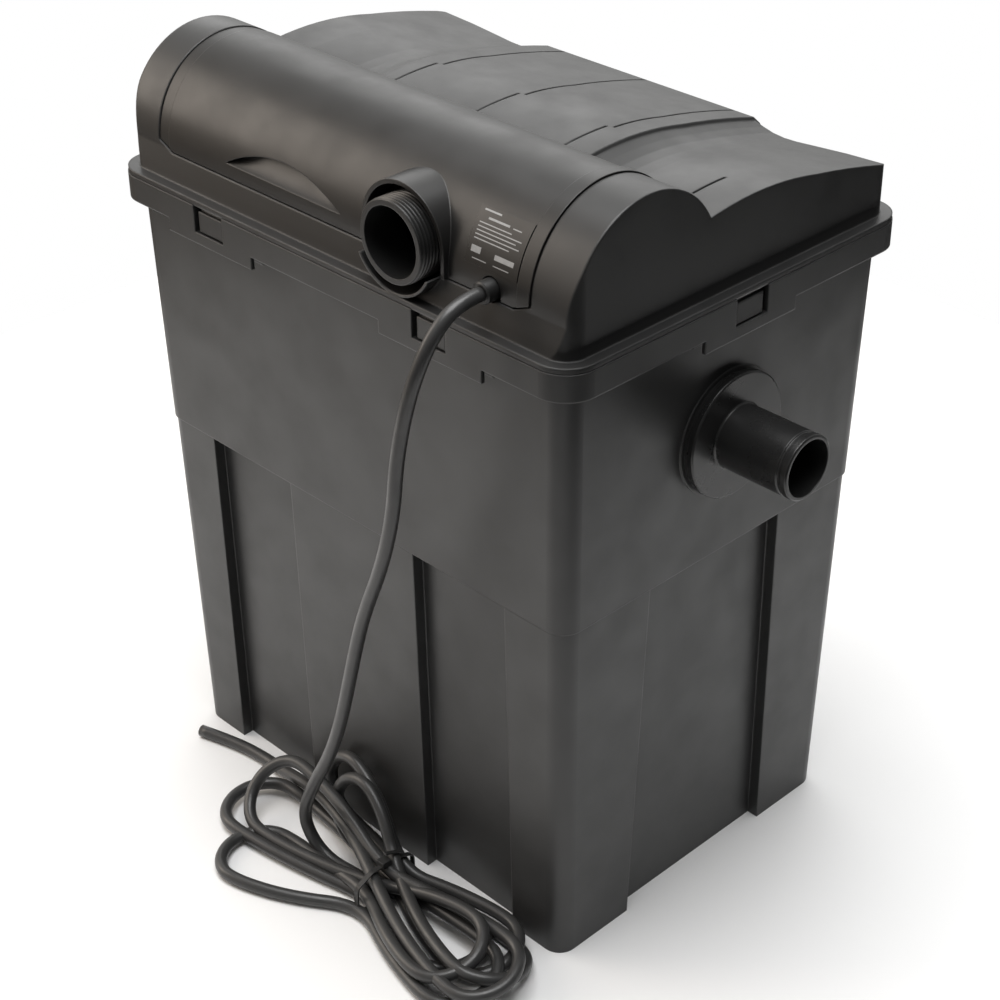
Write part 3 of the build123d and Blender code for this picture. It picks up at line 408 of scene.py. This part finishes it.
BLACK = 0.013  # base colour of the object's black plastic
finishes = {
    "tub_plastic": moulded("tub_plastic", BLACK * 1.7, (0.34, 0.46), 0.12, edge=0.0012),
    "lid_plastic": moulded("lid_plastic", BLACK * 1.4, (0.32, 0.44), 0.12, edge=0.0018),
    "hood_plastic": moulded("hood_plastic", BLACK * 0.8, (0.30, 0.42), 0.12, warm=0.03, edge=0.0008),
    "pipe_plastic": moulded("pipe_plastic", BLACK * 0.9, (0.24, 0.34), 0.06),
    "inner_plastic": moulded("inner_plastic", BLACK * 1.1, (0.42, 0.55), 0.16),
    "chamber_plastic": moulded("chamber_plastic", BLACK, (0.28, 0.38), 0.08),
    "box_plastic": moulded("box_plastic", BLACK * 1.2, (0.40, 0.52), 0.16),
    "ball_plastic": moulded("ball_plastic", BLACK * 0.9, (0.34, 0.46), 0.08, edge=0.0003),
    "seal_rubber": rubber("seal_rubber", 0.018),
    "gland_rubber": rubber("gland_rubber", 0.010),
    "cable_sheath": rubber("cable_sheath", 0.034, (0.28, 0.40)),
    "tie_nylon": moulded("tie_nylon", 0.016, (0.35, 0.45), 0.05, edge=0.0002),
    "foam_black": foam_material("foam_black", (0.02, 0.02, 0.022, 1), (0.05, 0.05, 0.055, 1), 900.0),
    "foam_blue": foam_material("foam_blue", (0.015, 0.06, 0.2, 1), (0.03, 0.1, 0.3, 1), 600.0),
    "foam_green": foam_material("foam_green", (0.02, 0.12, 0.05, 1), (0.04, 0.2, 0.09, 1), 380.0),
    "quartz": clear("quartz", (0.97, 0.99, 1.0, 1), 0.01),
    "lamp_glass": clear("lamp_glass", (0.95, 0.97, 1.0, 1), 0.05),
    "lamp_ceramic": ceramic("lamp_ceramic"),
    "screw_steel": brushed("screw_steel"),
    "board": board_material("board"),
    "plate_face": moulded("plate_face", 0.006, (0.26, 0.36), 0.04, edge=0.0002),
}
for entry in frame["record"]["subparts"]:
    node = nodes[entry["node"]]
    node.data.materials.clear()
    node.data.materials.append(finishes[entry["material_slot"]])


def dress(piece, slot, body):
    """Gives a new piece the material of its slot and the body that it rides on."""
    piece.data.materials.append(finishes[slot])
    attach(piece, body)


cable.data.materials.append(finishes["cable_sheath"])
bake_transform(cable)


# ---------------------------------------------------------------- tie round the hank
TIE_Y, TIE_Z = -0.159, 0.013  # middle of the bundle inside the tie
TIE_FRONT, TIE_BACK = -0.1365, -0.1815
TIE_BOTTOM, TIE_TOP, TIE_CORNER = 0.0006, 0.0258, 0.0052
STRAP_HALF, STRAP_THICK = 0.0018, 0.0011
ARC_STEPS = 4


def tie_outline():
    """The strap's inner line round the bundle, as (y, z) points."""
    front, back = TIE_FRONT - TIE_CORNER, TIE_BACK + TIE_CORNER
    low = TIE_BOTTOM + TIE_CORNER
    shoulder, crown = TIE_TOP - TIE_CORNER - 0.003, TIE_TOP - TIE_CORNER + 0.0005
    corners = (
        (front, low, 270, 360), (front, shoulder, 0, 60),
        (-0.1500, crown, 60, 90), (-0.1680, crown, 90, 120),
        (back, shoulder, 120, 180), (back, low, 180, 270),
    )
    outline = []
    for y, z, start, end in corners:
        for step in range(ARC_STEPS + 1):
            angle = math.radians(start + (end - start) * step / ARC_STEPS)
            outline.append((y + TIE_CORNER * math.cos(angle), z + TIE_CORNER * math.sin(angle)))
    return outline


def tie_ring():
    """A flat strap pulled tight round the bundle, with its locking head on top and a cut end."""
    outline = tie_outline()
    shape = bmesh.new()
    rings = []
    for offset, thickness in (
        (-STRAP_HALF, 0.0), (-STRAP_HALF, STRAP_THICK), (STRAP_HALF, STRAP_THICK), (STRAP_HALF, 0.0),
    ):
        ring = []
        for y, z in outline:
            push = Vector((y - TIE_Y, z - TIE_Z)).normalized() * thickness
            ring.append(shape.verts.new((TIE_X + offset, y + push.x, max(z + push.y, 0.0002))))
        rings.append(ring)
    count = len(outline)
    for first, second in zip(rings, rings[1:] + rings[:1]):
        for k in range(count):
            shape.faces.new((first[k], first[(k + 1) % count], second[(k + 1) % count], second[k]))
    head = bmesh.ops.create_cube(shape, size=1.0)["verts"]
    bmesh.ops.scale(shape, verts=head, vec=(0.0064, 0.0068, 0.0044))
    bmesh.ops.translate(shape, verts=head, vec=(TIE_X, TIE_Y, 0.0283))
    tail = bmesh.ops.create_cube(shape, size=1.0)["verts"]
    bmesh.ops.scale(shape, verts=tail, vec=(0.0030, 0.0150, 0.0010))
    bmesh.ops.rotate(shape, verts=tail, matrix=Matrix.Rotation(math.radians(-24), 3, "X"))
    bmesh.ops.translate(shape, verts=tail, vec=(TIE_X, -0.1515, 0.0318))
    bmesh.ops.recalc_face_normals(shape, faces=shape.faces)
    piece = piece_from(shape, "hank_tie")
    bevel = piece.modifiers.new("soft edges", "BEVEL")
    bevel.width = 0.0003
    bevel.segments = 2
    return piece


tie = tie_ring()
dress(tie, "tie_nylon", "root")
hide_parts("cable_tie")


# ---------------------------------------------------------------- foam pads
FOAM_INSET, FOAM_CROWN, FOAM_TOP_GAP = 0.0016, 0.0014, 0.0002
FOAM_CUTS = 23


def foam_pad(node_name):
    """A cut foam block: crowned faces and soft corners."""
    low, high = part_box(node_name)
    low, high = Vector(low), Vector(high)
    size = high - low
    centre = (low + high) / 2
    shape = bmesh.new()
    bmesh.ops.create_cube(shape, size=1.0)
    bmesh.ops.subdivide_edges(shape, edges=shape.edges, cuts=FOAM_CUTS, use_grid_fill=True)
    for vertex in shape.verts:
        unit = vertex.co * 2
        crown = Vector((
            (1 - unit.y ** 4) * (1 - unit.z ** 4), (1 - unit.x ** 4) * (1 - unit.z ** 4), 0.0,
        ))
        edge = max(abs(unit.x * unit.y), abs(unit.y * unit.z), abs(unit.x * unit.z))
        shrink = 1 - 0.012 * max(0.0, edge - 0.9) / 0.1
        vertex.co = Vector((
            unit.x * (size.x / 2 * shrink - FOAM_INSET + FOAM_CROWN * crown.x),
            unit.y * (size.y / 2 * shrink - FOAM_INSET + FOAM_CROWN * crown.y),
            unit.z * (size.z / 2 - FOAM_TOP_GAP),
        )) + centre
    piece = piece_from(shape, node_name + "_block")
    for face in piece.data.polygons:
        face.use_smooth = True
    return piece


for name, slot in (("foam_fine", "foam_black"), ("foam_medium", "foam_blue"), ("foam_coarse", "foam_green")):
    pad = foam_pad(name)
    dress(pad, slot, "root")
    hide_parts(name)


# ---------------------------------------------------------------- bio balls
BALL_R = 0.0154
BALL_WALL_GAP = 0.0155  # from the box's side to the outer balls' centres
BALL_ROWS, BALL_LAYERS = 6, 6
BALL_FIRST_Y, BALL_PITCH_Y = -0.080, 0.032
BALL_FIRST_Z, BALL_PITCH_Z = 0.0238, 0.035
HOOP_HALF = 0.0009
MERIDIANS = 4


def ring_band(shape, centre, radius, axis, half_width, thickness, segments):
    """A flat hoop round axis, added to shape."""
    axis = Vector(axis).normalized()
    side = axis.orthogonal().normalized()
    other = axis.cross(side)
    loops = []
    for along, out in (
        (-half_width, 0), (half_width, 0), (half_width, -thickness), (-half_width, -thickness),
    ):
        loops.append([
            shape.verts.new(centre + axis * along + (radius + out) * (
                math.cos(2 * math.pi * k / segments) * side + math.sin(2 * math.pi * k / segments) * other))
            for k in range(segments)
        ])
    for first, second in zip(loops, loops[1:] + loops[:1]):
        for k in range(segments):
            shape.faces.new((first[k], first[(k + 1) % segments], second[(k + 1) % segments], second[k]))


def open_ball(shape, centre, spin):
    """One open ball: upright hoops, level hoops and a tube up its middle."""
    for k in range(MERIDIANS):
        angle = spin + math.pi * k / MERIDIANS
        axis = (math.cos(angle), math.sin(angle), 0)
        ring_band(shape, centre, BALL_R, axis, HOOP_HALF, 0.0024, 18)
    for height in (-0.5, 0.0, 0.5):
        level = centre + Vector((0, 0, BALL_R * height))
        ring_band(shape, level, BALL_R * math.sqrt(1 - height * height), (0, 0, 1), HOOP_HALF, 0.0022, 18)
    ring_band(shape, centre, 0.0035, (0, 0, 1), 0.0138, 0.0014, 8)


def bio_ball_mesh():
    """All the balls in the basket, each turned a little differently."""
    shape = bmesh.new()
    low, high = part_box("bio_balls")
    xs = (low[0] + BALL_WALL_GAP, high[0] - BALL_WALL_GAP)
    for layer in range(BALL_LAYERS):
        for row in range(BALL_ROWS):
            for x in xs:
                y = BALL_FIRST_Y + BALL_PITCH_Y * row
                z = BALL_FIRST_Z + BALL_PITCH_Z * layer
                spin = 0.7 * layer + 1.1 * row + (0.5 if x == xs[0] else 0.0)
                open_ball(shape, Vector((x, y, z)), spin)
    bmesh.ops.recalc_face_normals(shape, faces=shape.faces)
    return piece_from(shape, "open_balls")


balls = bio_ball_mesh()
dress(balls, "ball_plastic", "root")
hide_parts("bio_balls")


# ---------------------------------------------------------------- plain bars on the blank plate
HOOD_AXIS_Y, HOOD_AXIS_Z = -0.0727, 0.4295
PRINT_R = 0.05438  # just outside the plate's face
PATCH_STEPS = 6


def arc_patch(shape, x_range, angles):
    """A thin patch on the hood's round front; angles are degrees above the horizon."""
    rows = []
    for step in range(PATCH_STEPS + 1):
        angle = math.radians(angles[0] + (angles[1] - angles[0]) * step / PATCH_STEPS)
        y = HOOD_AXIS_Y - PRINT_R * math.cos(angle)
        z = HOOD_AXIS_Z + PRINT_R * math.sin(angle)
        rows.append([shape.verts.new((x, y, z)) for x in x_range])
    for low, high in zip(rows, rows[1:]):
        shape.faces.new((low[0], low[1], high[1], high[0]))


def plate_bars():
    """Plain pale bars in place of print, with no lettering."""
    shape = bmesh.new()
    bars = (
        ((0.1062, 0.1180), (40.6, 41.6)), ((0.1110, 0.1260), (36.6, 37.8)), ((0.1285, 0.1345), (36.6, 37.2)),
        ((0.1062, 0.1290), (33.6, 34.2)), ((0.1062, 0.1370), (31.4, 32.0)), ((0.1062, 0.1340), (29.2, 29.8)),
        ((0.1062, 0.1370), (27.0, 27.6)), ((0.1062, 0.1310), (24.8, 25.4)), ((0.1062, 0.1130), (17.6, 21.2)),
        ((0.1230, 0.1365), (17.8, 20.6)), ((0.1080, 0.1180), (14.2, 14.7)), ((0.1230, 0.1340), (14.2, 14.7)),
    )
    for x_range, angles in bars:
        arc_patch(shape, x_range, angles)
    piece = piece_from(shape, "plate_bars")
    solid = piece.modifiers.new("thickness", "SOLIDIFY")
    solid.thickness = 0.0001
    s = Shader("pale_print")
    s.set(
        Base_Color=s.mix(s.noise(400.0, 4.0), grey(0.22), grey(0.36)),
        Roughness=s.remap(s.noise(90.0), 0.3, 0.7, 0.5, 0.65),
    )
    piece.data.materials.append(s.material)
    return piece


bars = plate_bars()
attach(bars, "hood")


# ---------------------------------------------------------------- studio
def area_light(name, place, target, size, power, colour=(1, 1, 1)):
    data = bpy.data.lights.new(name, "AREA")
    data.shape = "RECTANGLE"
    data.size, data.size_y = size
    data.energy = power
    data.color = colour
    light = bpy.data.objects.new(name, data)
    scene.collection.objects.link(light)
    light.location = place
    light.rotation_euler = (Vector(target) - Vector(place)).to_track_quat("-Z", "Y").to_euler()


area_light("top", (0.1, -0.1, 2.2), (0, 0, 0.2), (1.6, 1.6), 54)
area_light("left", (-1.7, -1.2, 1.3), (0, 0, 0.3), (1.0, 1.6), 16, (1.0, 0.90, 0.80))
area_light("back", (-1.6, 1.7, 1.6), (0, 0, 0.4), (2.0, 1.4), 9)


# glows of the surroundings: direction, narrowness, colour
WORLD_LOBES = (
    ((0.0, 0.0, 1.0), 0.01, (0.10, 0.10, 0.10)),
    ((-0.6, 0.6, 0.5), 3.0, (0.95, 0.95, 0.93)),
    ((-0.8, -0.45, 0.2), 6.0, (0.9, 0.76, 0.62)),
    ((-0.2, -0.7, 0.5), 5.0, (0.34, 0.33, 0.32)),
)


def studio_world():
    """Plain white behind the object; its surroundings glow behind it and to the left."""
    world = bpy.data.worlds.new("studio")
    world.use_nodes = True
    tree = world.node_tree
    background = tree.nodes["Background"]
    way = tree.nodes.new("ShaderNodeTexCoord").outputs["Generated"]

    def lobe(direction, power, colour):
        length = math.sqrt(sum(c * c for c in direction))
        dot = tree.nodes.new("ShaderNodeVectorMath")
        dot.operation = "DOT_PRODUCT"
        tree.links.new(way, dot.inputs[0])
        dot.inputs[1].default_value = [c / length for c in direction]
        narrow = tree.nodes.new("ShaderNodeMath")
        narrow.operation = "POWER"
        floor_at_zero = tree.nodes.new("ShaderNodeMath")
        floor_at_zero.operation = "MAXIMUM"
        floor_at_zero.inputs[1].default_value = 0.0
        tree.links.new(dot.outputs["Value"], floor_at_zero.inputs[0])
        tree.links.new(floor_at_zero.outputs[0], narrow.inputs[0])
        narrow.inputs[1].default_value = power
        tint = tree.nodes.new("ShaderNodeVectorMath")
        tint.operation = "SCALE"
        tint.inputs[0].default_value = colour
        tree.links.new(narrow.outputs[0], tint.inputs["Scale"])
        return tint.outputs["Vector"]

    total = None
    for direction, power, colour in WORLD_LOBES:
        part = lobe(direction, power, colour)
        if total is None:
            total = part
            continue
        adding = tree.nodes.new("ShaderNodeVectorMath")
        adding.operation = "ADD"
        tree.links.new(total, adding.inputs[0])
        tree.links.new(part, adding.inputs[1])
        total = adding.outputs["Vector"]
    tree.links.new(total, background.inputs["Color"])
    white = tree.nodes.new("ShaderNodeBackground")
    white.inputs["Color"].default_value = (1, 1, 1, 1)
    pick = tree.nodes.new("ShaderNodeMixShader")
    tree.links.new(tree.nodes.new("ShaderNodeLightPath").outputs["Is Camera Ray"], pick.inputs[0])
    tree.links.new(background.outputs[0], pick.inputs[1])
    tree.links.new(white.outputs[0], pick.inputs[2])
    tree.links.new(pick.outputs[0], tree.nodes["World Output"].inputs["Surface"])
    return world


scene.world = studio_world()
scene.view_settings.view_transform = "Standard"

FLOOR_LEFT, FLOOR_RIGHT, FLOOR_HALF = -0.75, 0.62, 0.75
floor_mesh = bpy.data.meshes.new("floor")
floor_corners = [
    (FLOOR_LEFT, -FLOOR_HALF, 0), (FLOOR_RIGHT, -FLOOR_HALF, 0),
    (FLOOR_RIGHT, FLOOR_HALF, 0), (FLOOR_LEFT, FLOOR_HALF, 0),
]
floor_mesh.from_pydata(floor_corners, [], [(0, 1, 2, 3)])
floor = bpy.data.objects.new("floor", floor_mesh)
scene.collection.objects.link(floor)
pale = Shader("pale_floor")
pale.set(
    Base_Color=pale.mix(pale.noise(3.0), grey(0.86), grey(0.88)),
    Roughness=pale.remap(pale.noise(20.0), 0.3, 0.7, 0.6, 0.7),
)
floor_mesh.materials.append(pale.material)
